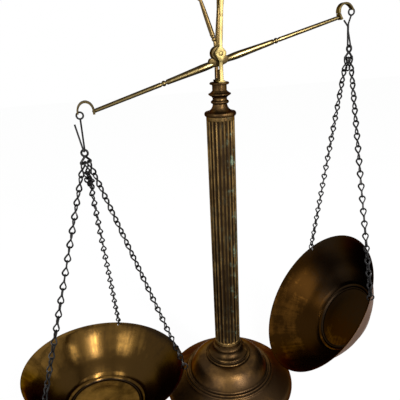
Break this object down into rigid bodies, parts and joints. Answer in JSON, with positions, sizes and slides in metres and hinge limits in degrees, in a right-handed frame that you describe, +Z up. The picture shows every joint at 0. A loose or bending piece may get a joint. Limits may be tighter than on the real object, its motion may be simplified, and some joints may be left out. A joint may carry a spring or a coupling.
{
  "type": "balance scale",
  "caption": "Table balance: round stepped base, fluted column, fork with tilting beam and pointer, and two hanging pans on jack chain, one tipped on edge.",
  "frame": {"origin": "middle of the base's underside, on the surface it stands on, under the column's axis", "axes": "+Z up along the column; +X from the column towards the right pan, along the beam when level; -Y towards the viewer"},
  "size_m": [0.409, 0.1777, 0.469],
  "materials": {
    "antique_brass": "aged, polished on the high spots, dark in the hollows",
    "pale_brass": "bright, lightly worn",
    "dark_brass": "dark brown patina with bright rubbed edges",
    "sheet_brass": "spun sheet, tarnished, glossy",
    "dark_wire": "blackened drawn wire",
    "steel": "plain turned",
    "iron": "as cast",
    "felt": "felt"
  },
  "bodies": {
    "stand": {"base_shell": "dark_brass", "base_weight": "iron", "base_felt": "felt", "column_foot": "antique_brass", "column_shaft": "antique_brass", "column_cap": "antique_brass", "column_finial": "antique_brass", "head_flange": "antique_brass", "tie_rod": "steel", "rod_washer": "steel", "rod_nut": "steel", "fork_front_blade": "pale_brass", "fork_rear_blade": "antique_brass", "fork_front_screw": "pale_brass", "fork_rear_screw": "pale_brass", "fork_crown": "antique_brass"},
    "beam": {"beam_hub": "antique_brass", "pivot_pin": "steel", "left_inner_arm": "antique_brass", "left_arm_bead": "antique_brass", "left_outer_arm": "antique_brass", "right_inner_arm": "antique_brass", "right_arm_bead": "antique_brass", "right_outer_arm": "antique_brass", "pointer_knuckle": "antique_brass", "pointer": "antique_brass"},
    "left_hanger": {"left_hanger": "dark_wire"},
    "left_pan": {"left_lower_link": "dark_wire", "left_back_chain": "dark_wire", "left_inner_chain": "dark_wire", "left_front_chain": "dark_wire", "left_rim_rings": "dark_wire", "left_pan": "sheet_brass"},
    "right_hanger": {"right_hanger": "dark_wire"},
    "right_chains": {"right_lower_link": "dark_wire", "right_back_chain": "dark_wire", "right_front_chain": "dark_wire", "right_stub_link": "dark_wire"},
    "right_pan": {"right_rim_rings": "dark_wire", "right_pan": "sheet_brass"}
  },
  "joints": [
    {"name": "beam_tilt", "type": "hinge", "parent": "stand", "child": "beam", "pos_m": [0, 0, 0.3865], "axis": [0, 1, 0], "range_deg": [0, 32]},
    {"name": "left_hanger_swing", "type": "hinge", "parent": "beam", "child": "left_hanger", "pos_m": [-0.13175, 0, 0.34061], "axis": [0, 1, 0], "range_deg": [-32, 0]},
    {"name": "left_pan_swing", "type": "hinge", "parent": "left_hanger", "child": "left_pan", "pos_m": [-0.13225, 0, 0.30606], "axis": [0.2588, 0.9659, 0], "range_deg": [-3, 12]},
    {"name": "right_hanger_swing", "type": "hinge", "parent": "beam", "child": "right_hanger", "pos_m": [0.13605, 0, 0.4174], "axis": [0, 1, 0], "range_deg": [-43.4, 0]},
    {"name": "right_pan_swing", "type": "hinge", "parent": "right_hanger", "child": "right_chains", "pos_m": [0.13605, 0, 0.38355], "axis": [0.9848, 0.1736, 0], "range_deg": [-8, 8]},
    {"name": "right_pan_tip", "type": "hinge", "parent": "right_chains", "child": "right_pan", "pos_m": [0.13247, -0.07546, 0.14304], "axis": [0.0799, 0.9927, -0.0907], "range_deg": [0, 61]}
  ],
  "couplings": [
    {"joint": "left_hanger_swing", "follows": "beam_tilt", "ratio": -1},
    {"joint": "right_hanger_swing", "follows": "beam_tilt", "ratio": -1.35},
    {"joint": "right_pan_tip", "follows": "beam_tilt", "ratio": 1.9}
  ]
}
